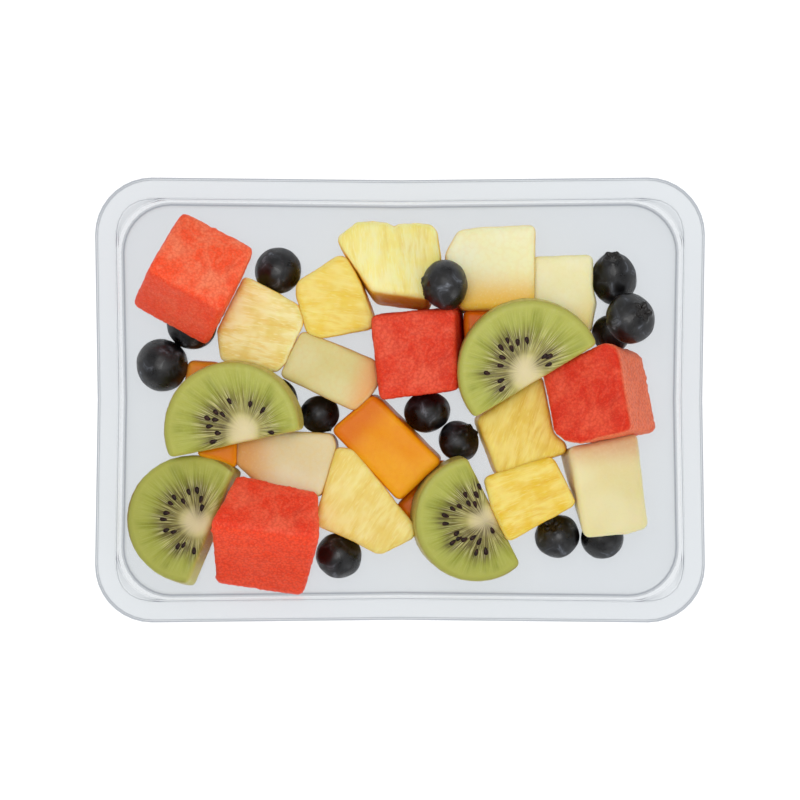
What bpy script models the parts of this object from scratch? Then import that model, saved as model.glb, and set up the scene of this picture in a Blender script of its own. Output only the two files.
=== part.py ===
"""Fruit salad in a clear rectangular tray: watermelon, pineapple, two melons, kiwi and blueberries.

Every piece of fruit is one closed solid.  Sizes are in millimetres, turned into metres by MM.
Each piece has a place in plan, a turn and a lean, and is then let down until it meets what is under it.
"""
import math

import bmesh
import bpy
from mathutils import Matrix, Vector
from mathutils.bvhtree import BVHTree

MM = 0.001

# Driving dimensions of the tray
TRAY_LENGTH = 187.4
TRAY_WIDTH = 136.8
TRAY_HEIGHT = 40.0
SHEET = 0.6            # thickness of the thermoformed plastic
FLANGE = 6.6           # from the outer edge to the top of the wall
SKIRT_DROP = 2.6       # how far the flange's outer edge turns down
OUTER_CORNER = 17.5
WALL_CORNER = 15.0
WALL_DRAFT = 0.4       # how far the wall leans in, from top to bottom
BASE_ROUND = 1.1       # radius between wall and floor
BOW = 0.8              # the long and short sides are drawn in at their middles
NEST_BULGE = 2.1       # small ledges in the four corners that keep stacked trays apart
NEST_DEPTH = 5.0
CORNER_STEPS = 9
SIDE_STEPS = 4

# Driving dimensions of the fruit
CUBE = 24.0            # height of a watermelon cube
BLOCK = 17.5           # height of a block of melon or pineapple
SLICE = 10.5           # thickness of a kiwi slice
SPREAD = 1.008         # the filling is laid out a little wider than its plan below
GAP = 0.2              # left between neighbours
EDGE = 1.1             # rounding of cut edges
SLIDE = 0.7            # how far a piece may slip sideways as it comes to rest
SLIDE_RINGS = 3
SLIDE_COST = 1.5       # a slip has to lower the piece by at least this many times its own length

COLOURS = {
    "watermelon": ((0.80, 0.09, 0.045), 0.38),
    "pineapple": ((0.87, 0.66, 0.19), 0.40),
    "honeydew": ((0.80, 0.71, 0.38), 0.38),
    "cantaloupe": ((0.86, 0.36, 0.05), 0.38),
    "kiwi": ((0.36, 0.42, 0.07), 0.35),
    "blueberry": ((0.018, 0.020, 0.030), 0.45),
    "tray": ((0.78, 0.84, 0.87), 0.12),
}


def clear_objects():
    for old in list(bpy.data.objects):
        bpy.data.objects.remove(old, do_unlink=True)


def make_collection(name):
    collection = bpy.data.collections.new(name)
    bpy.context.scene.collection.children.link(collection)
    return collection


def make_material(name):
    colour, roughness = COLOURS[name]
    material = bpy.data.materials.new(name)
    material.use_nodes = True
    shader = material.node_tree.nodes["Principled BSDF"]
    shader.inputs["Base Color"].default_value = (*colour, 1.0)
    shader.inputs["Roughness"].default_value = roughness
    shader.inputs["Metallic"].default_value = 0.0
    return material


def make_object(name, bm, material_name):
    """Turn a bmesh in millimetres into a named object in metres."""
    bmesh.ops.recalc_face_normals(bm, faces=bm.faces)
    bmesh.ops.scale(bm, vec=(MM, MM, MM), verts=bm.verts)
    mesh = bpy.data.meshes.new(name)
    bm.to_mesh(mesh)
    bm.free()
    mesh.materials.append(MATERIALS[material_name])
    made = bpy.data.objects.new(name, mesh)
    SALAD.objects.link(made)
    return made


def shade(made, angle=40.0):
    made.data.shade_smooth()
    made.data.set_sharp_from_angle(angle=math.radians(angle))


# ---------------------------------------------------------------- tray

def tray_ring(inset, height, radius, bulge=0.0):
    """One outline of the tray at a height, running counter-clockwise."""
    half_x = TRAY_LENGTH / 2 - inset
    half_y = TRAY_WIDTH / 2 - inset
    corners = []
    for quarter in range(4):
        sign_x = (1, -1, -1, 1)[quarter]
        sign_y = (1, 1, -1, -1)[quarter]
        middle = Vector((sign_x * (half_x - radius), sign_y * (half_y - radius), height))
        arc = []
        for step in range(CORNER_STEPS + 1):
            part = step / CORNER_STEPS
            turn = math.radians(90 * (quarter + part))
            reach = radius + bulge * math.sin(math.pi * part) ** 2
            arc.append(middle + reach * Vector((math.cos(turn), math.sin(turn), 0)))
        corners.append(arc)
    ring = []
    for quarter, arc in enumerate(corners):
        ring += arc
        start = arc[-1]
        end = corners[(quarter + 1) % 4][0]
        inward = Vector((0, 0, 1)).cross(end - start).normalized()
        for step in range(1, SIDE_STEPS):
            part = step / SIDE_STEPS
            ring.append(start.lerp(end, part) + inward * BOW * math.sin(math.pi * part) ** 2)
    return ring


def tray_profile():
    """Inset, height, corner radius and corner bulge, from the skirt's edge over the rim to the floor."""
    top = TRAY_HEIGHT
    wall = FLANGE + 0.4
    foot = wall + WALL_DRAFT
    rings = [
        (0.0, top - SKIRT_DROP, OUTER_CORNER, 0.0),
        (0.2, top - 0.9, OUTER_CORNER, 0.0),
        (0.6, top - 0.2, OUTER_CORNER, 0.0),
        (1.3, top, OUTER_CORNER - 0.8, 0.0),
        (FLANGE, top, WALL_CORNER, NEST_BULGE),
        (FLANGE + 0.3, top - 0.3, WALL_CORNER, NEST_BULGE),
        (wall, top - NEST_DEPTH, WALL_CORNER, NEST_BULGE),
        (wall + 0.1, top - NEST_DEPTH - 0.5, WALL_CORNER, 0.0),
    ]
    for step in range(4):
        turn = math.radians(30 * step)
        inset = foot + BASE_ROUND * (1 - math.cos(turn))
        height = SHEET + BASE_ROUND * (1 - math.sin(turn))
        rings.append((inset, height, WALL_CORNER - BASE_ROUND * (1 - math.cos(turn)), 0.0))
    return rings


def build_tray():
    """The open sheet that shows from above, thickened downwards and outwards."""
    bm = bmesh.new()
    loops = []
    for inset, height, radius, bulge in tray_profile():
        loops.append([bm.verts.new(point) for point in tray_ring(inset, height, radius, bulge)])
    count = len(loops[0])
    for outer, inner in zip(loops, loops[1:]):
        for index in range(count):
            after = (index + 1) % count
            bm.faces.new((outer[index], outer[after], inner[after], inner[index]))
    bm.faces.new(loops[-1])
    bmesh.ops.scale(bm, vec=(MM, MM, MM), verts=bm.verts)
    mesh = bpy.data.meshes.new("tray")
    bm.to_mesh(mesh)
    bm.free()
    mesh.materials.append(MATERIALS["tray"])
    tray = bpy.data.objects.new("tray", mesh)
    SALAD.objects.link(tray)
    sheet = tray.modifiers.new("sheet", "SOLIDIFY")
    sheet.thickness = SHEET * MM
    sheet.offset = -1.0
    sheet.use_even_offset = True
    shade(tray, 35.0)
    return tray


# ---------------------------------------------------------------- fruit shapes

def leaning(rise, toward):
    """Rotation that lifts the side of a piece that faces the plan angle `toward`."""
    angle = math.radians(toward)
    return Matrix.Rotation(math.radians(rise), 3, Vector((math.sin(angle), -math.cos(angle), 0)))


def middle_of(points):
    return sum((Vector(point) for point in points), Vector((0, 0))) / len(points)


def fluted(start, end, count, depth):
    """Points of an edge that swells into `count` scallops, without the end point."""
    start = Vector(start)
    end = Vector(end)
    outward = Vector((end.y - start.y, start.x - end.x)).normalized()
    points = []
    for lobe in range(count):
        for step in (0.0, 0.14, 0.5, 0.86):
            along = (lobe + step) / count
            swell = depth * math.sin(math.pi * step) ** 0.35
            points.append(start.lerp(end, along) + outward * swell)
    return points


def flat_outline(outline, middle, turn):
    """The outline of a leaning face, unrolled so that its plan view is `outline`."""
    unroll = Matrix((turn[0][:2], turn[1][:2])).inverted()
    return [unroll @ (Vector(point) - middle) for point in outline]


def add_cut_piece(name, kind, outline, depth, rise=0.0, toward=0.0, base=(1.0, 1.0), shift=(0.0, 0.0),
                  edge=EDGE):
    """A piece cut with a knife: a top face seen in plan as `outline`, and sides running down from it.

    base gives the length and width of the lower face against the upper one, and shift moves it.
    """
    middle = middle_of(outline)
    turn = leaning(rise, toward)
    bm = bmesh.new()
    top = bm.faces.new([bm.verts.new((*point, 0.0)) for point in flat_outline(outline, middle, turn)])
    lower = bmesh.ops.extrude_face_region(bm, geom=[top])["geom"]
    for vert in (item for item in lower if isinstance(item, bmesh.types.BMVert)):
        vert.co = Vector((vert.co.x * base[0] + shift[0], vert.co.y * base[1] + shift[1], -depth))
    made = make_object(name, bm, kind)
    made.location = Vector((middle.x * SPREAD, middle.y * SPREAD, 3 * TRAY_HEIGHT)) * MM
    made.rotation_euler = turn.to_euler()
    rounding = made.modifiers.new("rounding", "BEVEL")
    rounding.width = edge * MM
    rounding.segments = 2
    rounding.limit_method = "ANGLE"
    rounding.angle_limit = math.radians(38)
    shade(made)
    settle(made)
    return made


def kiwi_outline(centre, radii, long_axis, cut_from, cut_to):
    """A round or oval slice cut along one chord, counter-clockwise from one end of the chord."""
    centre = Vector(centre)
    start = Vector(cut_from)
    end = Vector(cut_to)
    axis = Matrix.Rotation(math.radians(long_axis), 2)
    steps = 22

    def around(point):
        flat = axis.inverted() @ (point - centre)
        return math.atan2(flat.y / radii[1], flat.x / radii[0])

    first = around(start)
    last = around(end)
    if last <= first:
        last += 2 * math.pi
    points = []
    for step in range(steps + 1):
        angle = first + (last - first) * step / steps
        points.append(centre + axis @ Vector((radii[0] * math.cos(angle), radii[1] * math.sin(angle))))
    return points


def add_kiwi(name, centre, radii, long_axis, cut_from, cut_to, rise, toward):
    outline = kiwi_outline(centre, radii, long_axis, cut_from, cut_to)
    return add_cut_piece(name, "kiwi", outline, SLICE, rise, toward, edge=0.9)


def add_berry(name, centre, radius, tip, toward, squat=0.9):
    """A blueberry: a squat ball with a five-lobed crown round a shallow pit.

    tip is how far the crown is turned from straight up, towards the plan angle `toward`.
    """
    bm = bmesh.new()
    bmesh.ops.create_uvsphere(bm, u_segments=15, v_segments=9, radius=radius)
    for vert in bm.verts:
        polar = math.acos(max(-1.0, min(1.0, vert.co.z / radius)))
        around = math.atan2(vert.co.y, vert.co.x)
        vert.co.z *= squat
        if polar < math.radians(10):
            vert.co.z -= 0.16 * radius
        elif polar < math.radians(30):
            vert.co.z += radius * (0.02 + 0.05 * math.cos(5 * around))
    made = make_object(name, bm, "blueberry")
    made.location = Vector((centre[0] * SPREAD, centre[1] * SPREAD, 3 * TRAY_HEIGHT)) * MM
    made.rotation_euler = leaning(-tip, toward).to_euler()
    shade(made, 60.0)
    settle(made)
    return made


# ---------------------------------------------------------------- letting pieces down

def world_shape(made, swell=0.0):
    """Evaluated triangles of an object in world space, swollen outwards by `swell`, in metres."""
    bpy.context.view_layer.update()
    depsgraph = bpy.context.evaluated_depsgraph_get()
    mesh = bpy.data.meshes.new_from_object(made.evaluated_get(depsgraph))
    bm = bmesh.new()
    bm.from_mesh(mesh)
    bpy.data.meshes.remove(mesh)
    bm.transform(made.matrix_world)
    bm.normal_update()
    pushed = [vert.co + vert.normal * swell for vert in bm.verts]
    for vert, place in zip(bm.verts, pushed):
        vert.co = place
    bmesh.ops.triangulate(bm, faces=bm.faces)
    return bm


def probe_points(bm, spacing=1.5 * MM):
    """Corners of a mesh, and points along its edges."""
    points = [vert.co.copy() for vert in bm.verts]
    for edge in bm.edges:
        first, second = (vert.co for vert in edge.verts)
        parts = int((second - first).length / spacing)
        points += [first.lerp(second, step / (parts + 1)) for step in range(1, parts + 1)]
    return points


def plan_box(points):
    return (min(p.x for p in points), max(p.x for p in points),
            min(p.y for p in points), max(p.y for p in points))


def neighbours_of(points):
    """Pieces already lying in the tray that could be under or beside these points."""
    reach = 2 * SLIDE * MM
    low_x, high_x, low_y, high_y = plan_box(points)
    near = []
    for tree, others, box in RESTING:
        if box[0] < high_x + reach and box[1] > low_x - reach:
            if box[2] < high_y + reach and box[3] > low_y - reach:
                near.append((tree, others))
    return near


def clear_drop(points, tree, near, slide):
    """How far a piece can be lowered once it has slid sideways by `slide`."""
    down = Vector((0, 0, -1))
    drop = min(point.z for point in points) - SHEET * MM
    for other_tree, other_points in near:
        for point in points:
            distance = other_tree.ray_cast(point + slide, down)[3]
            if distance is not None:
                drop = min(drop, distance)
        for point in other_points:
            distance = tree.ray_cast(point - slide, -down)[3]
            if distance is not None:
                drop = min(drop, distance)
    return drop


def settle(made):
    """Lower a piece until it lies GAP above what is under it, after a short slide if that lets it lie lower."""
    shape = world_shape(made, GAP * MM)
    points = probe_points(shape)
    tree = BVHTree.FromBMesh(shape)
    shape.free()
    near = neighbours_of(points)
    best_drop = clear_drop(points, tree, near, Vector((0, 0, 0)))
    best_slide = Vector((0, 0, 0))
    best_score = best_drop
    for ring in range(1, SLIDE_RINGS + 1):
        for direction in range(8):
            turn = math.radians(45 * direction + 22.5 * (ring % 2))
            slide = Vector((math.cos(turn), math.sin(turn), 0)) * SLIDE * MM * ring / SLIDE_RINGS
            drop = clear_drop(points, tree, near, slide)
            score = drop - SLIDE_COST * slide.length
            if score > best_score:
                best_score = score
                best_drop = drop
                best_slide = slide
    made.location += best_slide - Vector((0, 0, best_drop))
    resting = world_shape(made)
    corners = probe_points(resting)
    RESTING.append((BVHTree.FromBMesh(resting), corners, plan_box(corners)))
    resting.free()


# ---------------------------------------------------------------- the salad

def add_lower_layer():
    add_berry("blueberry_02", (-64.2, 23.2), 7.9, 140, 60, 0.92)
    add_berry("blueberry_01", (-73.1, 10.6), 8.0, 100, 200, 0.97)
    add_berry("blueberry_03", (-37.7, 40.0), 7.1, 120, -80, 1.02)
    add_berry("blueberry_04", (65.1, 20.4), 6.1, 130, 40)
    add_berry("blueberry_05", (66.0, 37.3), 6.9, 62, 95, 1.26)
    add_berry("blueberry_06", (-38.4, 0.0), 7.1, 150, 20)
    add_berry("blueberry_07", (-24.8, -4.2), 6.3, 95, -80, 0.88)
    add_berry("blueberry_08", (8.4, -3.9), 7.3, 90, 100, 0.84)
    add_berry("blueberry_09", (18.0, -12.5), 6.6, 62, 40)
    add_berry("blueberry_10", (-18.9, -48.0), 7.1, 120, 250, 0.92)
    add_berry("blueberry_11", (48.6, -42.0), 7.0, 40, 120)
    add_berry("blueberry_12", (62.4, -42.6), 6.7, 140, 90)

    add_cut_piece("pineapple_01", "pineapple",
                  [(-54.8, 12.6), (-51.6, 11.0), (-37.8, 8.8), (-35.4, 11.4), (-29.9, 23.8), (-31.3, 29.0),
                   (-47.6, 37.8), (-53.0, 27.0), (-55.8, 21.2)],
                  BLOCK, rise=2, toward=70, base=(0.88, 0.88))
    add_cut_piece("pineapple_02", "pineapple",
                  [(-28.4, 20.6), (-24.0, 19.4), (-8.8, 22.2), (-8.6, 25.0), (-12.6, 36.0), (-16.6, 43.4),
                   (-18.8, 44.1), (-31.7, 35.8), (-31.6, 32.0), (-29.8, 25.4)],
                  BLOCK, rise=4, toward=-5, base=(0.96, 0.94))
    add_cut_piece("pineapple_03", "pineapple",
                  [(-8.4, 33.6), (8.6, 31.4), (12.2, 44.0)]
                  + fluted((11.0, 52.2), (-15.2, 53.2), 2, 1.7)
                  + [(-19.2, 49.8), (-17.6, 46.8)],
                  BLOCK, rise=8, toward=-90, base=(0.93, 1.0), shift=(0.9, -1.5))
    add_cut_piece("honeydew_01", "honeydew",
                  [(18.8, 28.2), (40.9, 28.0), (41.1, 53.2), (25.0, 52.8), (18.2, 51.6), (14.2, 44.6)],
                  BLOCK, rise=4, toward=-90)
    add_cut_piece("honeydew_02", "honeydew",
                  [(41.7, 26.0), (58.6, 20.6), (60.4, 29.6), (59.2, 35.0), (59.2, 43.8), (41.7, 43.3)],
                  BLOCK - 2, rise=2, toward=-30)
    add_cut_piece("cantaloupe_03", "cantaloupe",
                  [(21.0, 10.0), (30.0, 10.0), (30.5, 27.0), (20.0, 27.2)],
                  BLOCK - 2, rise=2, toward=-90)
    add_cut_piece("honeydew_03", "honeydew",
                  [(-36.6, 7.6), (-14.0, -3.1), (-10.0, 0.6), (-6.9, 5.2), (-7.8, 11.8), (-30.1, 21.0)],
                  BLOCK, rise=2, toward=-10, base=(0.94, 0.9))
    add_cut_piece("cantaloupe_04", "cantaloupe",
                  [(-66.6, 2.6), (-60.0, -4.0), (-52.0, 8.5), (-57.0, 11.0), (-65.0, 11.6)],
                  BLOCK - 8)
    add_cut_piece("watermelon_02", "watermelon",
                  [(-5.3, 0.5), (18.0, 3.6), (17.0, 27.9), (-8.1, 25.6)],
                  CUBE, rise=5, toward=30, base=(1.00, 0.95), shift=(0.9, 0.4))
    add_cut_piece("cantaloupe_01", "cantaloupe",
                  [(-20.3, -8.9), (0.2, -30.3), (12.6, -18.6), (-5.6, -0.4), (-8.2, 1.4)],
                  BLOCK, rise=3, toward=45)
    add_cut_piece("honeydew_04", "honeydew",
                  [(-44.5, -24.5), (-43.0, -28.6), (-24.6, -29.2), (-19.8, -14.0), (-21.2, -10.8),
                   (-37.0, -10.0), (-50.0, -12.6), (-50.2, -19.4)],
                  BLOCK, rise=2, toward=0)
    add_cut_piece("cantaloupe_05", "cantaloupe",
                  [(-50.6, -13.1), (-62.6, -16.2), (-56.0, -18.4), (-50.6, -20.4)],
                  BLOCK + 1, edge=0.8)
    add_cut_piece("pineapple_04", "pineapple",
                  [(-26.4, -38.6), (-16.0, -42.9), (-7.4, -47.4), (-5.4, -47.3), (3.9, -42.6), (3.4, -38.8),
                   (-14.6, -16.0), (-19.6, -15.2)],
                  BLOCK, rise=1, toward=230, base=(0.92, 0.90))
    add_cut_piece("cantaloupe_02", "cantaloupe",
                  [(-0.7, -32.6), (13.2, -18.6), (22.0, -28.0), (8.0, -42.0), (4.9, -39.4)],
                  BLOCK - 8.5)
    add_cut_piece("pineapple_05", "pineapple",
                  [(30.2, -22.8), (50.7, -15.7), (50.0, -13.4), (46.6, -10.6), (43.2, 7.2), (24.2, -5.6)],
                  BLOCK, rise=2, toward=-20, base=(1.08, 1.0), shift=(-0.5, 0.0))
    add_cut_piece("pineapple_06", "pineapple",
                  [(33.5, -43.9), (44.0, -37.8), (53.9, -32.4), (50.2, -24.6), (46.9, -18.3), (38.0, -20.8),
                   (26.2, -24.6), (28.5, -33.4)],
                  BLOCK - 2, rise=6, toward=-62, base=(0.92, 0.88), shift=(-0.4, 0.6))
    add_cut_piece("watermelon_03", "watermelon",
                  [(47.4, -9.8), (50.6, -12.2), (55.2, -12.6), (70.0, -8.8), (65.9, 15.6), (62.9, 17.4),
                   (43.8, 8.4)],
                  CUBE, rise=15, toward=-12, base=(1.06, 0.92), shift=(2.2, 0.0))
    add_cut_piece("honeydew_05", "honeydew",
                  [(56.3, -42.0), (68.8, -40.9), (75.2, -39.0), (73.4, -26.0), (71.8, -10.2), (51.8, -14.6),
                   (53.7, -27.0)],
                  BLOCK, rise=4, toward=175, base=(1.06, 0.60), shift=(-0.8, 4.2))
    add_cut_piece("honeydew_06", "honeydew",
                  [(-66.0, -44.3), (-58.2, -44.3), (-58.0, -33.0), (-65.0, -31.0)],
                  BLOCK - 10)


def add_upper_layer():
    add_cut_piece("watermelon_01", "watermelon",
                  [(-76.3, 39.8), (-54.1, 27.6), (-44.7, 46.4), (-66.2, 57.5)],
                  CUBE - 1, rise=32, toward=-117)
    add_berry("blueberry_13", (70.7, 25.1), 7.9, 48, 30)
    add_berry("blueberry_14", (14.4, 35.0), 7.9, 85, 190, 0.85)
    add_kiwi("kiwi_01", (-51.7, -9.2), (20.5, 20.5), 10, (-31.4, -8.9), (-71.2, -17.5), 9, 12)
    add_kiwi("kiwi_02", (39.5, 8.2), (21.8, 21.6), 31, (59.8, 17.0), (23.2, -4.8), 4, 120)
    add_kiwi("kiwi_03", (-63.5, -36.6), (19.4, 20.3), 90, (-52.4, -22.6), (-65.8, -55.8), 15, -25)
    add_kiwi("kiwi_04", (23.2, -36.3), (18.9, 19.0), 90, (19.6, -17.4), (35.4, -49.8), 9, 150)
    add_cut_piece("watermelon_04", "watermelon",
                  [(-57.6, -37.8), (-24.8, -41.8), (-25.3, -28.4), (-49.7, -23.0)],
                  CUBE + 3.5, rise=42, toward=-97, base=(0.80, 1.0), shift=(-0.1, -0.4))


clear_objects()
SALAD = make_collection("fruit_salad")
MATERIALS = {name: make_material(name) for name in COLOURS}
RESTING = []
build_tray()
add_lower_layer()
add_upper_layer()
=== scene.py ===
"""Fruit salad in a clear tray: the looks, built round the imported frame.

Each piece of cut fruit is a dense, softened copy of its node's own solid, with the relief of its kind.
Each berry is a new ball with a crown, as large as its node's solid.  Both stand for their nodes.  The tray
keeps its CAD shape and gets a new material, and all the kiwi seeds are one piece.  Lengths named in
millimetres are turned into metres by MM.
"""
import math
import random

import bmesh
import bpy
import numpy as np
from mathutils import Matrix, Vector, noise


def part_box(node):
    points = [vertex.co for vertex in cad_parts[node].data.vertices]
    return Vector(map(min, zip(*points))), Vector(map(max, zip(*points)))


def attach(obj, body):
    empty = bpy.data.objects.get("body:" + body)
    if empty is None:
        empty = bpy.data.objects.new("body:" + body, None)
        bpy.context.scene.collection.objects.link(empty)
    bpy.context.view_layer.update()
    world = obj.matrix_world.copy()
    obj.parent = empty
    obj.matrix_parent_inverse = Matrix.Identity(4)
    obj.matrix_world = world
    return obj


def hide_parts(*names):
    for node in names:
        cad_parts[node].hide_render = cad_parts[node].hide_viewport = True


MM = 0.001
UP = Vector((0, 0, 1))

# The camera looks straight down from far above; metres, but for the sensor in mm
CAMERA_HEIGHT = 2.4
CAMERA_REACH = 10.0
RIM_HEIGHT = 0.040
VIEW_WIDTH = 0.2453     # what the view takes in at the height of the rim
SENSOR = 36.0

# The floor glows a little, which keeps it an even white, and lies just under the tray
WHITE = (1.0, 1.0, 1.0, 1.0)
FLOOR_COLOUR = (0.35, 0.35, 0.35, 1.0)
FLOOR_GLOW = 0.92
FLOOR_SIZE = 1.5        # half its side in metres
FLOOR_DROP = 0.2        # mm

# Even light from all round, and two soft lamps: place, size and energy
SKY_COLOUR = (0.97, 0.985, 1.0, 1.0)
SKY_STRENGTH = 0.72
LAMPS = {
    "key": ((-0.08, 0.20, 1.4), 0.9, 6.0),
    "fill": ((0.9, -0.9, 0.7), 0.8, 2.5),
}

# Fruit meshes: size of a face in mm, and rounds of smoothing that take the hardness off the cut edges
FINENESS = {
    "watermelon": (0.50, 12),
    "pineapple": (0.50, 4),
    "honeydew": (0.50, 4),
    "cantaloupe": (0.50, 4),
    "kiwi": (0.36, 5),
}
# What the smoothing takes off the faces is given back, in mm
SWELL = 0.66
KIWI_SWELL = 0.34

# Every piece takes its noise this far from the one before, so that no two look alike
NOISE_STEP = 3.0

# How flat faces are told apart
SAME_FACE = 0.999               # two normals whose product is above this belong to one face
LEAST_FACE = 12 * MM * MM       # smaller ones are left out
LARGE_FACE = 0.4                # share of the largest face, above which a face counts as large
BESIDE = 0.5                    # below this product of normals a face stands beside the top
EDGE_FADE = 0.22                # from 1 less this product on, a point is fully on a rounded edge

# A kiwi slice's relief in mm, and where it lies between the core at 0 and the rim at 1
CORE_RISE = 0.16
CORE_END = 0.25
RING_SINK = 0.14
RING_AT = 0.48
RING_WIDTH = 0.14
RAY_RISE = 0.08
RAY_GROWTH = 0.15
RIND_RISE = 0.25

# Kiwi seeds
SEED_LENGTH = (2.1, 2.6)        # mm, shortest and longest
SEED_WIDTH = (1.15, 1.45)       # mm, narrowest and widest
SEED_HALO = (3.4, 2.0)          # mm, how far the painted shade round a seed reaches along the ray and across it
SEED_THICK = 0.5                # thickness as a share of the width
SEED_TAPER = 0.35               # how much wider the outer end is
SEED_SPIN = 0.3                 # radians that a seed may turn off its ray

# Berries: segments of the ball, its unevenness, and the crown's lobes
BERRY_ROUND = 60
BERRY_TALL = 44
BERRY_UNEVEN = 0.03
LOBES = 5
LIP_ANGLE = (16, 9)             # degrees from the crown's axis between lobes, and how many more at a lobe
LIP_WIDTH = 4.0                 # degrees
LIP_RISE = (0.045, 0.06)        # share of the radius between lobes, and how much more at a lobe
PIT_DEPTH = 0.13                # share of the radius
PIT_EDGE = 0.75                 # where the pit ends, as a share of the lip's angle

# The tray's sheet: what comes through where it is steep, level and bent, the bent one being painted shade
# along the bends, and its gloss
STEEP_TINT = (0.88, 0.89, 0.90, 1.0)
LEVEL_TINT = (0.766, 0.781, 0.795, 1.0)
BENT_SHADE_TINT = (0.46, 0.48, 0.51, 1.0)
GLOSS_ROUGHNESS = 0.14
GLOSS_SHARE = (0.015, 0.85)     # seen straight on and at the lowest angle
STEEP_GLOSS = 0.25              # how much of that share a steep face keeps

# Plan angle in degrees that the fibres run along in each pineapple piece
FIBRES = {
    "pineapple_01": -12,
    "pineapple_02": -8,
    "pineapple_03": 94,
    "pineapple_04": 56,
    "pineapple_05": 70,
    "pineapple_06": 20,
}

# Each kiwi slice in mm: where its core is in plan, and where its seeds are
KIWIS = {
    "kiwi_01": ((-47.6, -9.6), (
        (-52.5, -0.4), (-46.1, -1.3), (-56.7, -3.8), (-54.6, -4.5), (-59.3, -5.6), (-56.9, -6.1),
        (-58.7, -8.1), (-56.1, -10.2), (-39.7, -10.0), (-42.3, -3.2), (-57.5, -12.8),
    )),
    "kiwi_02": ((38.2, 8.8), (
        (33.1, 18.3), (36.2, 17.7), (34.4, 15.8), (31.1, 16.1), (31.6, 13.1), (39.1, 18.3),
        (31.0, 10.6), (26.8, 8.3), (31.1, 6.0), (31.5, 3.5), (44.5, 13.4), (45.9, 13.4),
        (45.7, 10.9),
    )),
    "kiwi_03": ((-62.8, -37.8), (
        (-62.7, -28.0), (-65.3, -28.5), (-69.8, -30.2), (-70.9, -32.0), (-67.0, -31.4), (-61.5, -30.8),
        (-61.2, -33.4), (-73.1, -37.0), (-72.2, -35.0), (-69.9, -40.8), (-72.2, -40.3), (-66.8, -44.8),
        (-68.6, -45.2), (-63.6, -46.6),
    )),
    "kiwi_04": ((26.4, -37.4), (
        (24.5, -26.8), (23.6, -29.3), (21.2, -32.0), (23.2, -32.3), (18.4, -32.9), (16.3, -33.6),
        (20.2, -29.3), (14.0, -35.7), (14.1, -38.2), (17.5, -41.2), (19.9, -43.1), (18.2, -42.8),
        (22.6, -42.5), (24.5, -43.7), (23.6, -47.1), (26.5, -46.7), (28.5, -40.3), (16.3, -44.0),
    )),
}

# Where each berry's crown points: degrees from straight up, and the plan angle it is turned towards
CROWNS = {
    "blueberry_01": (150, 200),
    "blueberry_02": (140, 60),
    "blueberry_03": (150, -80),
    "blueberry_04": (130, 40),
    "blueberry_05": (52, 95),
    "blueberry_06": (150, 20),
    "blueberry_07": (95, -80),
    "blueberry_08": (90, 100),
    "blueberry_09": (62, 40),
    "blueberry_10": (150, 250),
    "blueberry_11": (40, 120),
    "blueberry_12": (140, 90),
    "blueberry_13": (40, 31),
    "blueberry_14": (85, 190),
}


def srgb(red, green, blue):
    """A colour given as on a screen, 0 to 255, in the linear values that nodes take."""
    linear = []
    for value in (red, green, blue):
        part = value / 255
        linear.append(part / 12.92 if part <= 0.04045 else ((part + 0.055) / 1.055) ** 2.4)
    return (*linear, 1.0)


# ---------------------------------------------------------------- material nodes

class Paint:
    """A short way to write one material's nodes."""

    def __init__(self, name):
        self.material = bpy.data.materials.new(name)
        self.material.use_nodes = True
        self.tree = self.material.node_tree
        self.shader = self.tree.nodes["Principled BSDF"]
        self.place = self.add("ShaderNodeTexCoord").outputs["Object"]

    def feed(self, socket, value):
        if isinstance(value, bpy.types.NodeSocket):
            self.tree.links.new(value, socket)
        else:
            socket.default_value = value

    def add(self, kind, inputs=None, **settings):
        node = self.tree.nodes.new(kind)
        for key, value in settings.items():
            setattr(node, key, value)
        for key, value in (inputs or {}).items():
            self.feed(node.inputs[key], value)
        return node

    def finish(self, **inputs):
        for key, value in inputs.items():
            self.feed(self.shader.inputs[key.replace("_", " ")], value)
        return self.material

    def attribute(self, name):
        return self.add("ShaderNodeAttribute", attribute_name=name).outputs["Fac"]

    def number(self, operation, first, second=0.0):
        return self.add("ShaderNodeMath", {0: first, 1: second}, operation=operation).outputs[0]

    def span(self, value, low, high, to_low=0.0, to_high=1.0, kind="SMOOTHSTEP"):
        """Turns low to high into to_low to to_high, and holds it at those ends."""
        inputs = {"Value": value, "From Min": low, "From Max": high, "To Min": to_low, "To Max": to_high}
        return self.add("ShaderNodeMapRange", inputs, interpolation_type=kind).outputs["Result"]

    def mix(self, factor, first, second):
        node = self.add("ShaderNodeMix", data_type="RGBA")
        self.feed(node.inputs[0], factor)
        self.feed(node.inputs[6], first)
        self.feed(node.inputs[7], second)
        return node.outputs[2]

    def stretched(self, scale):
        return self.add("ShaderNodeMapping", {"Vector": self.place, "Scale": scale}).outputs["Vector"]

    def clouds(self, size, vector=None, detail=3.0, rough=0.55, warp=0.0):
        """Noise from 0 to 1, with blobs of about `size` mm."""
        inputs = {"Vector": vector or self.place, "Scale": 1 / (size * MM), "Detail": detail,
                  "Roughness": rough, "Distortion": warp}
        return self.add("ShaderNodeTexNoise", inputs).outputs["Fac"]

    def cells(self, size):
        """Distance to the nearest of many points that are about `size` mm apart."""
        inputs = {"Vector": self.place, "Scale": 1 / (size * MM)}
        return self.add("ShaderNodeTexVoronoi", inputs).outputs["Distance"]

    def ramp(self, factor, stops):
        node = self.add("ShaderNodeValToRGB", {"Fac": factor})
        elements = node.color_ramp.elements
        while len(elements) < len(stops):
            elements.new(0.5)
        for element, (position, colour) in zip(elements, stops):
            element.position = position
            element.color = colour
        return node.outputs["Color"]

    def relief(self, height, depth, strength):
        """A fine bump, `depth` mm high."""
        inputs = {"Height": height, "Distance": depth * MM, "Strength": strength}
        return self.add("ShaderNodeBump", inputs).outputs["Normal"]


# The deeper yellow that is painted on pineapple sides as painted shade
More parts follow.
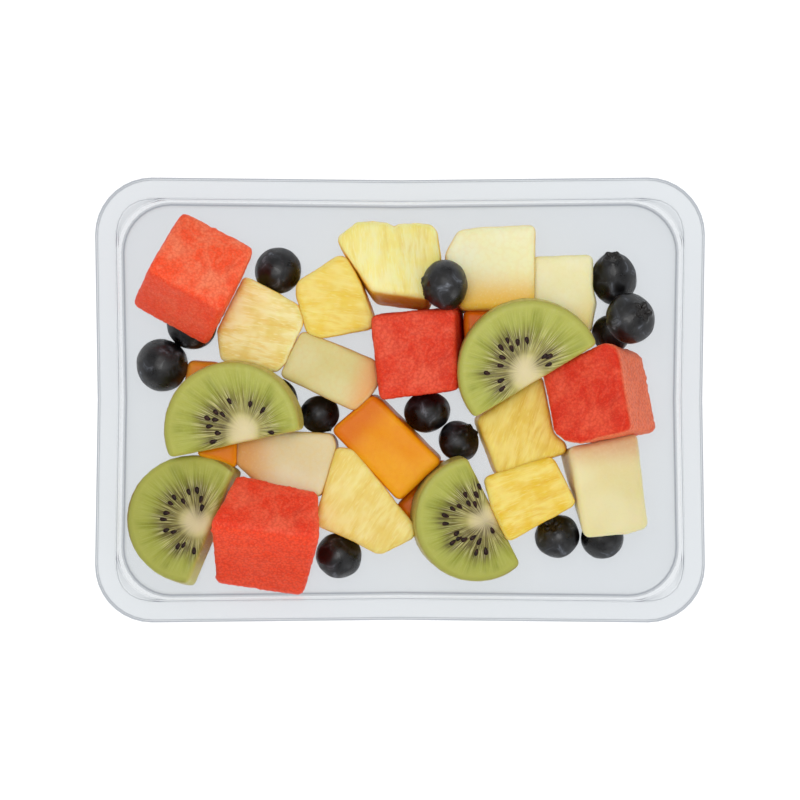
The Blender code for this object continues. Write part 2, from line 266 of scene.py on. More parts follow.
PINEAPPLE_SIDE_SHADE = srgb(252, 198, 58)


def watermelon_paint(name, tones):
    """Grainy red flesh: darker grains, pale veins, a crumbling edge painted paler as a highlight, and sides
    in painted light and shade.
    """
    deep, flesh, pale, side = tones
    paint = Paint(name)
    broad = paint.clouds(10.0, detail=2.0, warp=0.6)
    body = paint.mix(paint.span(broad, 0.38, 0.68, 0.0, 0.75), flesh, pale)
    sunk = paint.span(paint.clouds(6.0, detail=3.0), 0.56, 0.76, 0.0, 0.45)
    body = paint.mix(sunk, body, deep)
    vein = paint.number("ABSOLUTE", paint.number("SUBTRACT", paint.clouds(8.0, detail=2.5, warp=1.2), 0.5))
    body = paint.mix(paint.span(vein, 0.0, 0.05, 0.34, 0.0), body, pale)
    # Painted light and shade: the sides take the fourth tone
    body = paint.mix(paint.span(paint.attribute("side"), 0.3, 0.8, 0.0, 0.7), body, side)
    grain = paint.cells(0.85)
    body = paint.mix(paint.span(grain, 0.30, 0.75, 0.0, 0.34), body, deep)
    fine = paint.clouds(0.5, detail=2.0)
    body = paint.mix(paint.span(fine, 0.45, 0.8, 0.0, 0.45), body, pale)
    # Painted highlight: the rounded cut edges are painted paler
    body = paint.mix(paint.span(paint.attribute("edge"), 0.1, 1.0, 0.0, 0.30), body, pale)
    return paint.finish(
        Base_Color=body,
        Roughness=paint.span(paint.clouds(1.4), 0.3, 0.7, 0.40, 0.62),
        Normal=paint.relief(paint.number("ADD", grain, fine), 0.10, 0.6),
        Subsurface_Weight=0.45,
        Subsurface_Radius=(1.0, 0.25, 0.10),
        Subsurface_Scale=0.0030,
        Specular_IOR_Level=0.16,
    )


def pineapple_paint(name, tones):
    """Yellow flesh with fine fibres along the piece's own first axis, sides painted a deeper yellow as
    painted shade, and a painted highlight on its edges.
    """
    rich, flesh, pale = tones
    paint = Paint(name)
    along = paint.stretched((0.16, 1.0, 1.0))
    broad = paint.clouds(8.0, detail=2.0, warp=0.5)
    body = paint.mix(paint.span(broad, 0.35, 0.65, 0.0, 0.7), flesh, pale)
    bands = paint.clouds(2.6, along, detail=3.0, warp=0.5)
    body = paint.mix(paint.span(bands, 0.46, 0.70, 0.0, 0.55), body, rich)
    body = paint.mix(paint.span(bands, 0.46, 0.32, 0.0, 0.65), body, pale)
    threads = paint.clouds(0.5, along, detail=2.0)
    body = paint.mix(paint.span(threads, 0.5, 0.70, 0.0, 0.55), body, pale)
    # Painted shade: the sides take a deeper yellow
    body = paint.mix(paint.span(paint.attribute("side"), 0.25, 0.9, 0.0, 0.85), body, PINEAPPLE_SIDE_SHADE)
    # Painted highlight: the rounded cut edges are painted paler
    body = paint.mix(paint.span(paint.attribute("edge"), 0.2, 1.0, 0.0, 0.35), body, pale)
    return paint.finish(
        Base_Color=body,
        Roughness=paint.span(bands, 0.3, 0.7, 0.30, 0.5),
        Normal=paint.relief(threads, 0.08, 0.5),
        Subsurface_Weight=0.45,
        Subsurface_Radius=(1.0, 0.7, 0.15),
        Subsurface_Scale=0.0035,
        Specular_IOR_Level=0.20,
    )


def melon_paint(name, tones, one_side_colour=None):
    """Smooth melon flesh with sides in painted light and shade and a painted highlight on its edges; the
    last argument, if given, is (colour, direction, near, far) in the piece's own frame, in mm, for a second
    colour towards one side.
    """
    deep, flesh, pale = tones
    paint = Paint(name)
    broad = paint.clouds(16.0, detail=1.0, warp=0.3)
    body = paint.mix(paint.span(broad, 0.35, 0.65, 0.0, 0.6), flesh, pale)
    # A second colour towards one side. On honeydew_01 and honeydew_05 it is painted shade and a painted
    # reflection
    if one_side_colour:
        colour, direction, near, far = one_side_colour
        along = paint.add("ShaderNodeVectorMath", {0: paint.place, 1: direction}, operation="DOT_PRODUCT")
        wavy = paint.number("ADD", along.outputs["Value"], paint.number("MULTIPLY", broad, 2 * MM))
        body = paint.mix(paint.span(wavy, near * MM, far * MM), body, colour)
    fleck = paint.clouds(0.7, detail=3.0)
    body = paint.mix(paint.span(fleck, 0.52, 0.75, 0.0, 0.20), body, pale)
    specks = paint.cells(1.5)
    body = paint.mix(paint.span(specks, 0.35, 0.8, 0.0, 0.10), body, deep)
    # Painted light and shade: the sides take the deep tone
    body = paint.mix(paint.span(paint.attribute("side"), 0.15, 0.9, 0.0, 0.75), body, deep)
    # Painted highlight: the rounded cut edges are painted paler
    body = paint.mix(paint.span(paint.attribute("edge"), 0.2, 1.0, 0.0, 0.3), body, pale)
    return paint.finish(
        Base_Color=body,
        Roughness=paint.span(fleck, 0.3, 0.7, 0.26, 0.42),
        Normal=paint.relief(fleck, 0.05, 0.5),
        Subsurface_Weight=0.45,
        Subsurface_Radius=(1.0, 0.7, 0.25),
        Subsurface_Scale=0.0035,
        Specular_IOR_Level=0.16,
    )


def kiwi_paint(name):
    """Green flesh round a cream core, with pale rays, painted shade round the seeds, painted light on the
    sides and a faint painted sheen; reach runs from 0 at the core to 1 at the rim.
    """
    paint = Paint(name)
    reach = paint.attribute("reach")
    split = paint.add("ShaderNodeSeparateXYZ", {"Vector": paint.place})
    angle = paint.number("ARCTAN2", split.outputs["Y"], split.outputs["X"])

    def rays(count, blur):
        spoke = paint.add("ShaderNodeCombineXYZ", {
            "X": paint.number("MULTIPLY", angle, count),
            "Y": paint.number("MULTIPLY", reach, blur),
            "Z": paint.number("MULTIPLY", split.outputs["Z"], 1 / (3 * MM)),
        })
        return paint.add("ShaderNodeTexNoise", {
            "Vector": spoke.outputs["Vector"], "Scale": 1.0, "Detail": 2.0, "Roughness": 0.5,
        }).outputs["Fac"]

    wide = rays(3.4, 1.2)
    narrow = rays(18.0, 1.6)
    hair = rays(44.0, 2.2)
    flesh = paint.span(reach, 0.22, 0.40)
    inside = paint.number("MULTIPLY", flesh, paint.span(reach, 0.90, 0.70))
    wander = paint.number("MULTIPLY", inside, paint.span(narrow, 0.3, 0.7, -0.06, 0.06, "LINEAR"))
    body = paint.ramp(paint.number("ADD", reach, wander), [
        (0.0, srgb(226, 211, 166)),
        (0.15, srgb(222, 207, 158)),
        (0.23, srgb(212, 200, 138)),
        (0.30, srgb(174, 162, 92)),
        (0.44, srgb(134, 126, 52)),
        (0.58, srgb(142, 142, 48)),
        (0.76, srgb(166, 168, 68)),
        (0.93, srgb(182, 182, 86)),
        (0.985, srgb(172, 170, 80)),
        (1.0, srgb(140, 114, 48)),
    ])
    middle = paint.number("MULTIPLY", flesh, paint.span(reach, 0.50, 0.72, 1.0, 0.0))
    outer = paint.number("MULTIPLY", flesh, paint.span(reach, 0.97, 0.80))
    body = paint.mix(paint.number("MULTIPLY", paint.span(wide, 0.46, 0.68, 0.0, 0.45), outer),
                     body, srgb(190, 194, 98))
    body = paint.mix(paint.number("MULTIPLY", paint.span(wide, 0.50, 0.32, 0.0, 0.55), outer),
                     body, srgb(126, 134, 32))
    streak = paint.number("MULTIPLY", paint.span(hair, 0.40, 0.64, 0.0, 0.3), outer)
    body = paint.mix(streak, body, srgb(198, 199, 112))
    # Painted shade round the seeds, in dark brown
    shadow = paint.number("MULTIPLY", paint.attribute("dusk"), paint.span(narrow, 0.35, 0.6, 0.95, 0.45))
    body = paint.mix(shadow, body, srgb(74, 58, 30))
    body = paint.mix(paint.number("MULTIPLY", paint.span(narrow, 0.48, 0.34, 0.0, 0.6), middle),
                     body, srgb(112, 98, 46))
    body = paint.mix(paint.number("MULTIPLY", paint.span(narrow, 0.54, 0.64, 0.0, 0.6), middle),
                     body, srgb(208, 198, 128))
    body = paint.mix(paint.number("MULTIPLY", paint.span(hair, 0.54, 0.66, 0.0, 0.75), middle),
                     body, srgb(222, 214, 158))
    # Painted sheen: faint pale specks for the glisten of wet flesh; the same noise also bumps the surface
    wet_sheen = paint.clouds(0.6, detail=2.0)
    body = paint.mix(paint.span(wet_sheen, 0.55, 0.8, 0.0, 0.14), body, srgb(214, 214, 140))
    # Painted light: the sides are painted a lighter green
    body = paint.mix(paint.span(paint.attribute("side"), 0.3, 0.95, 0.0, 0.6), body, srgb(206, 200, 104))
    return paint.finish(
        Base_Color=body,
        Roughness=paint.span(narrow, 0.3, 0.7, 0.28, 0.46),
        Normal=paint.relief(paint.number("ADD", paint.number("MULTIPLY", hair, middle), wet_sheen), 0.07, 0.5),
        Subsurface_Weight=0.25,
        Subsurface_Radius=(0.7, 1.0, 0.2),
        Subsurface_Scale=0.0022,
        Specular_IOR_Level=0.24,
    )


def berry_paint():
    """Near-black skin under a grey-blue bloom that has worn off in patches."""
    paint = Paint("blueberry_skin")
    patches = paint.clouds(5.0, detail=4.0, rough=0.6, warp=0.8)
    body = paint.ramp(patches, [
        (0.38, srgb(5, 3, 3)),
        (0.52, srgb(13, 11, 12)),
        (0.62, srgb(44, 45, 49)),
        (0.78, srgb(112, 116, 124)),
    ])
    fine = paint.clouds(0.55, detail=3.0)
    body = paint.mix(paint.span(fine, 0.5, 0.75, 0.0, 0.4), body, srgb(12, 9, 9))
    rust = paint.span(paint.clouds(2.6, detail=4.0), 0.62, 0.74, 0.0, 0.35)
    body = paint.mix(rust, body, srgb(66, 48, 30))
    body = paint.mix(paint.attribute("crown"), body, srgb(26, 19, 15))
    return paint.finish(
        Base_Color=body,
        Roughness=paint.span(patches, 0.35, 0.65, 0.26, 0.62),
        Normal=paint.relief(fine, 0.05, 0.5),
        Specular_IOR_Level=0.45,
        Coat_Weight=0.12,
        Coat_Roughness=0.2,
    )


def seed_paint():
    paint = Paint("kiwi_seed")
    shade = paint.clouds(0.6, detail=2.0)
    body = paint.mix(paint.span(shade, 0.35, 0.7), srgb(20, 8, 6), srgb(58, 27, 18))
    return paint.finish(
        Base_Color=body,
        Roughness=paint.span(shade, 0.3, 0.7, 0.30, 0.46),
        Specular_IOR_Level=0.2,
    )


def plastic_paint():
    """Thin clear plastic: mostly see-through, faintly blue-grey, with a gloss that grows at low angles.

    Steep faces are clearer, since the eye meets many of them one behind the other.  Faces between steep and
    level are painted darker, as painted shade that draws the lines of the tray's bends.
    """
    paint = Paint("clear_plastic")
    nodes = paint.tree.nodes
    normal = paint.add("ShaderNodeNewGeometry").outputs["Normal"]
    facing = paint.add("ShaderNodeSeparateXYZ", {"Vector": normal})
    flatness = paint.number("ABSOLUTE", facing.outputs["Z"])
    level = paint.span(flatness, 0.15, 0.7)
    between = paint.number("MULTIPLY", flatness, paint.number("SUBTRACT", 1.0, flatness))
    bent = paint.number("MULTIPLY", between, 4.0)
    sheet = paint.mix(level, STEEP_TINT, LEVEL_TINT)
    # Painted shade: faces between steep and level let less through, which draws dark lines along the bends
    tint = paint.mix(paint.number("MULTIPLY", bent, bent), sheet, BENT_SHADE_TINT)
    clear = paint.add("ShaderNodeBsdfTransparent", {"Color": tint})
    gloss = paint.add("ShaderNodeBsdfGlossy", {"Color": WHITE, "Roughness": GLOSS_ROUGHNESS})
    weight = paint.add("ShaderNodeLayerWeight", {"Blend": 0.5})
    grazing = paint.number("POWER", weight.outputs["Facing"], 4.0)
    share = paint.span(grazing, 0.0, 1.0, *GLOSS_SHARE, "LINEAR")
    shine = paint.number("MULTIPLY", share, paint.span(level, 0.0, 1.0, STEEP_GLOSS, 1.0))
    both = paint.add("ShaderNodeMixShader", {0: shine})
    paint.feed(both.inputs[1], clear.outputs[0])
    paint.feed(both.inputs[2], gloss.outputs[0])
    paint.feed(nodes["Material Output"].inputs["Surface"], both.outputs[0])
    nodes.remove(paint.shader)
    return paint.material


# ---------------------------------------------------------------- shape helpers

def mesh_points(mesh):
    flat = np.empty(len(mesh.vertices) * 3)
    mesh.vertices.foreach_get("co", flat)
    return flat.reshape(-1, 3)


def mesh_normals(mesh):
    flat = np.empty(len(mesh.vertices) * 3)
    mesh.vertices.foreach_get("normal", flat)
    return flat.reshape(-1, 3)


def put_points(mesh, points):
    mesh.vertices.foreach_set("co", points.astype(np.float32).ravel())
    mesh.update()


def put_attribute(mesh, name, values):
    mesh.attributes.new(name, "FLOAT", "POINT").data.foreach_set("value", values.astype(np.float32))


def flat_faces(mesh):
    """The flat faces of a solid as (area, normal, middle), the largest first."""
    faces = [(face.area, face.normal.copy(), face.center.copy()) for face in mesh.polygons]
    faces.sort(key=lambda face: -face[0])
    groups = []
    for area, normal, middle in faces:
        for group in groups:
            if group[1].dot(normal) > SAME_FACE:
                group[2] = (group[2] * group[0] + middle * area) / (group[0] + area)
                group[0] += area
                break
        else:
            groups.append([area, normal, middle])
    groups = [group for group in groups if group[0] > LEAST_FACE]
    return sorted(groups, key=lambda group: -group[0])


def top_of(groups):
    """The large flat face that looks up the most."""
    least = LARGE_FACE * groups[0][0]
    return max(groups, key=lambda group: group[1].z if group[0] > least else 0)


def standing_beside(top, groups):
    """The faces that stand beside `top`, the largest first."""
    return [group for group in groups if abs(group[1].dot(top[1])) < BESIDE]


def turned(top, along):
    """A rotation whose third axis is `top` and whose first axis lies as near as it can to `along`."""
    third = top.normalized()
    first = (along - third * along.dot(third)).normalized()
    return Matrix((first, third.cross(first), third)).transposed()


def roughly(points, size, octaves=3, shift=0.0, stretch=(1.0, 1.0, 1.0)):
    """Soft noise from about -1 to 1 at each point, with bumps of about `size` mm."""
    scaled = points / (np.array(stretch) * size * MM) + shift
    return np.array([noise.fractal(Vector(point), 1.0, 2.0, octaves) for point in scaled])


def grained(points, size, shift=0.0):
    """Distance to the nearest of many scattered grains, about 0 to 1."""
    scaled = points / (size * MM) + shift
    return np.array([noise.voronoi(Vector(point))[0][0] for point in scaled])


def fine_copy(node, turn, face, rounds):
    """The node's solid as an even mesh with softened edges, laid along the axes of `turn`."""
    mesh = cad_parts[node].data.copy()
    mesh.transform(turn.to_4x4().inverted())
    holder = bpy.data.objects.new("holder", mesh)
    bpy.context.scene.collection.objects.link(holder)
    remesh = holder.modifiers.new("even", "REMESH")
    remesh.mode = "VOXEL"
    remesh.voxel_size = face * MM
    soften = holder.modifiers.new("soften", "SMOOTH")
    soften.factor = 0.5
    soften.iterations = rounds
    bpy.context.view_layer.update()
    depsgraph = bpy.context.evaluated_depsgraph_get()
    even = bpy.data.meshes.new_from_object(holder.evaluated_get(depsgraph))
    bpy.data.objects.remove(holder)
    even.transform(turn.to_4x4())
    return even


def add_piece(name, mesh, place, material, node):
    """A finished piece, which stands for `node` if given; mesh points are in the piece's own frame."""
    mesh.materials.clear()
    mesh.materials.append(material)
    mesh.shade_smooth()
    mesh.name = name
    piece = bpy.data.objects.new(name, mesh)
    bpy.context.scene.collection.objects.link(piece)
    piece.matrix_world = place
    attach(piece, "root")
    if node:
        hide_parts(node)


def mark_edges(mesh, points_up, groups):
    """Attributes: edge is 1 on rounded cut edges, and side is 1 on what doesn't face along `points_up`."""
    normals = mesh_normals(mesh)
    best = np.full(len(normals), -1.0)
    for _, normal, _ in groups:
        best = np.maximum(best, normals @ np.array(normal))
    edge = np.clip((1 - best) / EDGE_FADE, 0, 1)
    # edge also masks the painted highlight on the cut edges
    put_attribute(mesh, "edge", edge)
    # side masks the painted light and shade on the sides
    put_attribute(mesh, "side", 1 - np.clip(normals @ np.array(points_up), 0, 1))
    return edge


# ---------------------------------------------------------------- cut fruit

# The three reliefs give how far each point rises in mm; `shift` picks the noise

def watermelon_relief(points, edge, shift):
    rise = 0.26 * roughly(points, 8.0, 2, shift) + 0.12 * roughly(points, 1.3, 3, shift)
    rise += 0.24 * (0.45 - grained(points, 1.2, shift))
    return rise + 0.90 * edge * roughly(points, 1.6, 3, shift + 5)


def pineapple_relief(points, edge, shift):
    rise = 0.16 * roughly(points, 6.0, 2, shift) + 0.11 * roughly(points, 1.0, 2, shift, (6.0, 1.0, 1.0))
    return rise + 0.20 * edge * roughly(points, 2.4, 2, shift, (2.0, 1.0, 1.0))


def melon_relief(points, edge, shift):
    rise = 0.22 * roughly(points, 9.0, 2, shift) + 0.03 * roughly(points, 1.2, 2, shift)
    return rise + 0.10 * edge * roughly(points, 3.5, 2, shift)


RELIEFS = {
    "watermelon": watermelon_relief,
    "pineapple": pineapple_relief,
    "honeydew": melon_relief,
    "cantaloupe": melon_relief,
}

# Each piece's deep, flesh and pale tones as on a screen; a melon's deep tone also goes on its sides as
# painted light and shade, and a watermelon's fourth tone is painted light and shade on its sides
REDS = {
    "watermelon_01": ((212, 46, 18), (255, 88, 46), (255, 144, 104), (236, 66, 34)),
    "watermelon_02": ((186, 28, 14), (226, 62, 30), (240, 104, 74), (200, 26, 10)),
    "watermelon_03": ((184, 30, 12), (218, 50, 22), (240, 98, 66), (255, 140, 94)),
    "watermelon_04": ((190, 32, 16), (238, 66, 36), (248, 112, 80), (252, 78, 38)),
}
YELLOWS = {
    "pineapple_01": ((232, 190, 62), (234, 212, 122), (248, 238, 182)),
    "pineapple_02": ((234, 190, 50), (240, 210, 86), (246, 228, 140)),
    "pineapple_03": ((240, 212, 100), (253, 234, 140), (254, 244, 182)),
    "pineapple_04": ((228, 190, 76), (236, 210, 114), (244, 228, 152)),
    "pineapple_05": ((216, 168, 44), (232, 200, 86), (242, 220, 126)),
    "pineapple_06": ((230, 176, 20), (236, 200, 62), (246, 226, 130)),
}
PALES = {
    "honeydew_01": ((240, 200, 96), (250, 241, 190), (253, 248, 216)),
    "honeydew_02": ((236, 220, 140), (243, 235, 184), (249, 243, 210)),
    "honeydew_03": ((224, 172, 90), (216, 203, 136), (226, 218, 166)),
    "honeydew_04": ((232, 188, 70), (222, 204, 159), (232, 222, 188)),
    "honeydew_05": ((236, 228, 182), (232, 219, 159), (240, 231, 185)),
    "honeydew_06": ((226, 204, 130), (232, 214, 150), (238, 224, 172)),
}
ORANGES = {
    "cantaloupe_01": ((222, 114, 0), (236, 150, 0), (244, 176, 30)),
    "cantaloupe_02": ((230, 104, 0), (242, 122, 0), (248, 146, 14)),
    "cantaloupe_03": ((232, 96, 0), (240, 116, 6), (244, 150, 40)),
    "cantaloupe_04": ((226, 116, 10), (238, 142, 30), (242, 170, 74)),
    "cantaloupe_05": ((220, 120, 0), (234, 146, 0), (242, 166, 20)),
}

# A second colour that comes in towards one side: colour, plan angle, start and end in mm from the middle.
# On honeydew_01 it is painted shade and a painted orange reflection from the cantaloupe next to it. On
# honeydew_05 it is a painted shadow and a painted red reflection from the watermelon next to it
ONE_SIDE_COLOURS = {
    "honeydew_01": ((246, 196, 70), -90, -1, 13),
    "honeydew_02": ((238, 218, 140), -60, 2, 14),
    "honeydew_03": ((232, 176, 112), -18, 5, 14),
    "honeydew_04": ((216, 158, 90), 178, 1, 15),
    "honeydew_05": ((222, 184, 136), 92, 6, 15),
    "cantaloupe_01": ((222, 118, 10), 140, 4, 13),
}


def level_line(degrees):
    """A level direction at a plan angle."""
    return Vector((math.cos(math.radians(degrees)), math.sin(math.radians(degrees)), 0))


def add_cut_piece(node, kind, shift):
    groups = flat_faces(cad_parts[node].data)
    top = top_of(groups)
    level = turned(top[1], standing_beside(top, groups)[0][1])
    face, rounds = FINENESS[kind]
    mesh = fine_copy(node, level, face, rounds)
    edge = mark_edges(mesh, top[1], groups)

    own = turned(top[1], level_line(FIBRES.get(node, 0)))
    place = Matrix.Translation(top[2]) @ own.to_4x4()
    mesh.transform(place.inverted())
    points = mesh_points(mesh)
    rise = RELIEFS[kind](points, edge, shift)
    put_points(mesh, points + mesh_normals(mesh) * ((rise + SWELL) * MM)[:, None])

    if kind == "watermelon":
        material = watermelon_paint(node, [srgb(*tone) for tone in REDS[node]])
    elif kind == "pineapple":
        material = pineapple_paint(node, [srgb(*tone) for tone in YELLOWS[node]])
    else:
        one_side_colour = None
        if node in ONE_SIDE_COLOURS:
            colour, angle, near, far = ONE_SIDE_COLOURS[node]
            one_side_colour = (srgb(*colour), own.inverted() @ level_line(angle), near, far)
        tones = {**PALES, **ORANGES}[node]
        material = melon_paint(node, [srgb(*tone) for tone in tones], one_side_colour)
    add_piece(node + "_flesh", mesh, place, material, node)


# ---------------------------------------------------------------- kiwi

def arc_of(points, normals, cut):
    """Centre and radius of the round side of a slice, in its own frame."""
    side = (np.abs(normals[:, 2]) < 0.2) & (normals @ np.array(cut) < 0.8)
    around = points[side, :2]
    terms = np.column_stack((2 * around, np.ones(len(around))))
    answer = np.linalg.lstsq(terms, (around ** 2).sum(axis=1), rcond=None)[0]
    centre = answer[:2]
    return centre, math.sqrt(answer[2] + centre @ centre)


def reach_of(points, centre, radius):
    """How far each point lies from the core, 0 at the core and 1 at the rim."""
    flat = points[:, :2]
    length = np.maximum(np.linalg.norm(flat, axis=1), 1e-7)
    ray = flat / length[:, None]
    along = ray @ centre
    rim = along + np.sqrt(np.maximum(along ** 2 - centre @ centre + radius ** 2, 0))
    return np.clip(length / rim, 0, 1)


def kiwi_relief(points, normals, reach, shift):
    """How far each point of a slice rises in mm: a proud core, a sunk ring of seeds, and fine rays."""
    facing = np.abs(normals[:, 2])
    angle = np.arctan2(points[:, 1], points[:, 0])
    spokes = np.column_stack((angle * 12 * MM, reach * 2 * MM, np.zeros(len(angle))))
    open_face = np.clip(facing * 2 - 1, 0, 1)
    core = CORE_RISE * np.clip(1 - reach / CORE_END, 0, 1)
    ring = RING_SINK * np.exp(-((reach - RING_AT) / RING_WIDTH) ** 2)
    rayed = np.clip((reach - CORE_END) / RAY_GROWTH, 0, 1)
    rays = RAY_RISE * rayed * roughly(spokes, 1.0, 2, shift)
    rise = KIWI_SWELL + RIND_RISE * (1 - facing) + open_face * (core - ring + rays)
    rise += 0.12 * roughly(points, 7.0, 2, shift) + 0.04 * roughly(points, 1.0, 2, shift)
    return rise


def add_kiwi(node, material, shift):
    groups = flat_faces(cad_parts[node].data)
    top = top_of(groups)
    cut = standing_beside(top, groups)[0]
    own = turned(top[1], -cut[1])
    (plan_x, plan_y), seeds = KIWIS[node]
    below = Vector((plan_x * MM, plan_y * MM, 0))
    core = below + UP * ((top[2] - below).dot(top[1]) / top[1].z)
    face, rounds = FINENESS["kiwi"]
    mesh = fine_copy(node, own, face, rounds)
    mark_edges(mesh, top[1], groups)
    place = Matrix.Translation(core) @ own.to_4x4()
    mesh.transform(place.inverted())

    points = mesh_points(mesh)
    normals = mesh_normals(mesh)
    centre, radius = arc_of(points, normals, own.inverted() @ cut[1])
    reach = reach_of(points, centre, radius)
    spots = seed_places(place, seeds)
    put_attribute(mesh, "reach", reach)
    put_attribute(mesh, "dusk", dusk_round(points, spots))
    rise = kiwi_relief(points, normals, reach, shift)
    put_points(mesh, points + normals * (rise * MM)[:, None])
    add_piece(node + "_flesh", mesh, place, material, node)
    return place, spots


def seed_places(place, seeds):
    """The seeds' places on the open face of a slice, in its own frame."""
    normal = place.to_3x3() @ UP
    core = place.translation
    spots = []
    for plan_x, plan_y in seeds:
        flat = Vector((plan_x * MM, plan_y * MM, 0))
        spots.append(place.inverted() @ (flat + UP * ((core - flat).dot(normal) / normal.z)))
    return spots


def dusk_round(points, spots):
    """The painted shade round the seeds: 1 at a seed and fading round it, farther along the ray from the
    core than across it.
    """
    dusk = np.zeros(len(points))
    for spot in spots:
        ray = np.array((spot.x, spot.y)) / max(spot.length, 1e-6)
        offset = points[:, :2] - np.array((spot.x, spot.y))
        along = (offset @ ray) / (SEED_HALO[0] * MM)
        across = (offset @ np.array((-ray[1], ray[0]))) / (SEED_HALO[1] * MM)
        dusk += np.exp(-along ** 2 - across ** 2)
    return np.clip(dusk, 0, 1)


def add_seeds(slices, material):
    """All the kiwi seeds as one piece: flattened drops that point at their slice's core."""
    draw = random.Random(7)
    bm = bmesh.new()
    for place, spots in slices:
        for at in spots:
            angle = math.atan2(at.y, at.x)
            length = draw.uniform(*SEED_LENGTH) / 2 * MM
            width = draw.uniform(*SEED_WIDTH) / 2 * MM
            made = bmesh.ops.create_uvsphere(bm, u_segments=12, v_segments=8, radius=1.0)["verts"]
            for vert in made:
                across = width * (1 + SEED_TAPER * vert.co.x)
                vert.co = Vector((vert.co.x * length, vert.co.y * across, vert.co.z * across * SEED_THICK))
            spot = Matrix.Translation((at.x, at.y, KIWI_SWELL * MM))
            spin = Matrix.Rotation(angle + draw.uniform(-SEED_SPIN, SEED_SPIN), 4, "Z")
            bmesh.ops.transform(bm, matrix=place @ spot @ spin, verts=made)
    mesh = bpy.data.meshes.new("kiwi_seeds")
    bm.to_mesh(mesh)
    bm.free()
    add_piece("kiwi_seeds", mesh, Matrix(), material, None)


# ---------------------------------------------------------------- blueberries

def fading(degrees, end, softness):
    """Nearly 1 below `end` and nearly 0 above it."""
    return 1 / (1 + math.exp((degrees - end) / softness))


def crown_height(polar, around):
    """How far the skin stands out near the crown, as a share of the radius, and how crown-like it is."""
    wave = 0.5 + 0.5 * math.cos(LOBES * around)
    lip = LIP_ANGLE[0] + LIP_ANGLE[1] * wave
    degrees = math.degrees(polar)
    ridge = math.exp(-((degrees - lip) / LIP_WIDTH) ** 2) * (LIP_RISE[0] + LIP_RISE[1] * wave)
    pit = PIT_DEPTH * fading(degrees, PIT_EDGE * lip, 1.6)
    return ridge - pit, fading(degrees, lip, 1.5)


def add_berry(node, material, shift):
    low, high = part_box(node)
    middle = (Vector(low) + Vector(high)) / 2
    tip, toward = CROWNS[node]
    lean = math.radians(tip)
    plan = math.radians(toward)
    axis = Vector((math.sin(lean) * math.cos(plan), math.sin(lean) * math.sin(plan), math.cos(lean)))
    own = turned(axis, UP if abs(axis.z) < 0.9 else Vector((1, 0, 0)))

    solid = mesh_points(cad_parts[node].data) - np.array(middle)
    local = solid @ np.array(own)
    radius = np.linalg.norm(local[:, :2], axis=1).max()
    bottom = -local[:, 2].min()
    bm = bmesh.new()
    bmesh.ops.create_uvsphere(bm, u_segments=BERRY_ROUND, v_segments=BERRY_TALL, radius=1.0)
    crowns = []
    for vert in bm.verts:
        polar = math.acos(max(-1.0, min(1.0, vert.co.z)))
        around = math.atan2(vert.co.y, vert.co.x)
        stands, crown = crown_height(polar, around)
        crowns.append(crown)
        swell = 1 + BERRY_UNEVEN * noise.fractal(vert.co * 1.3 + Vector((shift, 0, 0)), 1.0, 2.0, 2)
        vert.co = Vector((vert.co.x * radius, vert.co.y * radius, vert.co.z * bottom)) * swell
        vert.co.z += stands * radius
    mesh = bpy.data.meshes.new(node)
    bm.to_mesh(mesh)
    bm.free()
    put_attribute(mesh, "crown", np.array(crowns))
    place = Matrix.Translation(middle) @ own.to_4x4()
    add_piece(node + "_skin", mesh, place, material, node)


# ---------------------------------------------------------------- stage, light and camera

def add_stage():
    bm = bmesh.new()
    bmesh.ops.create_grid(bm, x_segments=2, y_segments=2, size=FLOOR_SIZE)
    mesh = bpy.data.meshes.new("floor")
    bm.to_mesh(mesh)
    bm.free()
    floor = bpy.data.objects.new("floor", mesh)
    bpy.context.scene.collection.objects.link(floor)
    floor.location.z = -FLOOR_DROP * MM
    paint = Paint("floor")
    mesh.materials.append(paint.finish(
        Base_Color=FLOOR_COLOUR,
        Roughness=0.9,
        Emission_Color=WHITE,
        Emission_Strength=FLOOR_GLOW,
    ))


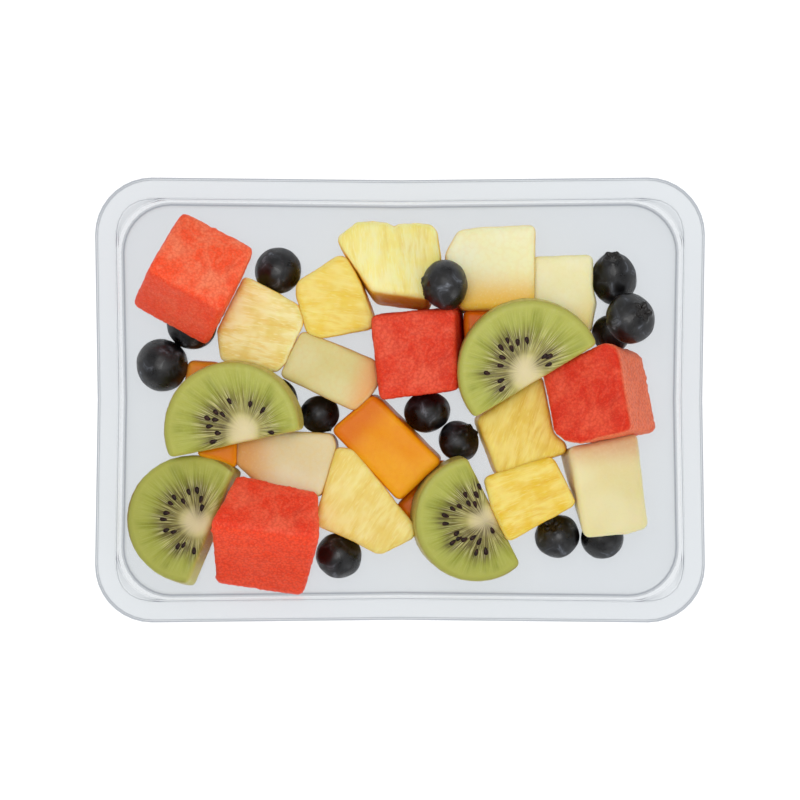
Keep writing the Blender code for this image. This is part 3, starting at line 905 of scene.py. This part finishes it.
def add_light(name, place, size, energy):
    data = bpy.data.lights.new(name, "AREA")
    data.shape = "DISK"
    data.size = size
    data.energy = energy
    light = bpy.data.objects.new(name, data)
    bpy.context.scene.collection.objects.link(light)
    light.location = place
    light.rotation_euler = (-Vector(place)).to_track_quat("-Z", "Y").to_euler()


def set_scene():
    scene = bpy.context.scene
    scene.view_settings.view_transform = "Standard"
    world = bpy.data.worlds.new("studio")
    world.use_nodes = True
    sky = world.node_tree.nodes["Background"]
    sky.inputs["Color"].default_value = SKY_COLOUR
    sky.inputs["Strength"].default_value = SKY_STRENGTH
    scene.world = world
    for name, (place, size, energy) in LAMPS.items():
        add_light(name, place, size, energy)
    data = bpy.data.cameras.new("camera")
    data.sensor_width = SENSOR
    data.lens = SENSOR * (CAMERA_HEIGHT - RIM_HEIGHT) / VIEW_WIDTH
    data.clip_end = CAMERA_REACH
    camera = bpy.data.objects.new("camera", data)
    scene.collection.objects.link(camera)
    camera.location = (0, 0, CAMERA_HEIGHT)
    scene.camera = camera


# ---------------------------------------------------------------- making

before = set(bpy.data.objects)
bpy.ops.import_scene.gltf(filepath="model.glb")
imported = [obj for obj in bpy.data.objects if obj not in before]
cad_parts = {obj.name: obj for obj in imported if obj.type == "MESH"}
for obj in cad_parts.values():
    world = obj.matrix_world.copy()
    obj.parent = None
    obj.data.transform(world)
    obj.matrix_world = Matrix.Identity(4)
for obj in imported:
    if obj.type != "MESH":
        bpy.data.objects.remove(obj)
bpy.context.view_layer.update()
set_scene()
add_stage()

kiwi_flesh = kiwi_paint("kiwi_flesh")
berry_skin = berry_paint()
slices = []
for number, node in enumerate(sorted(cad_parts)):
    kind = node.rsplit("_", 1)[0]
    if kind == "kiwi":
        slices.append(add_kiwi(node, kiwi_flesh, NOISE_STEP * number))
    elif kind == "blueberry":
        add_berry(node, berry_skin, NOISE_STEP * number)
    elif kind in RELIEFS:
        add_cut_piece(node, kind, NOISE_STEP * number)
add_seeds(slices, seed_paint())

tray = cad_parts["tray"]
tray.data.materials.clear()
tray.data.materials.append(plastic_paint())
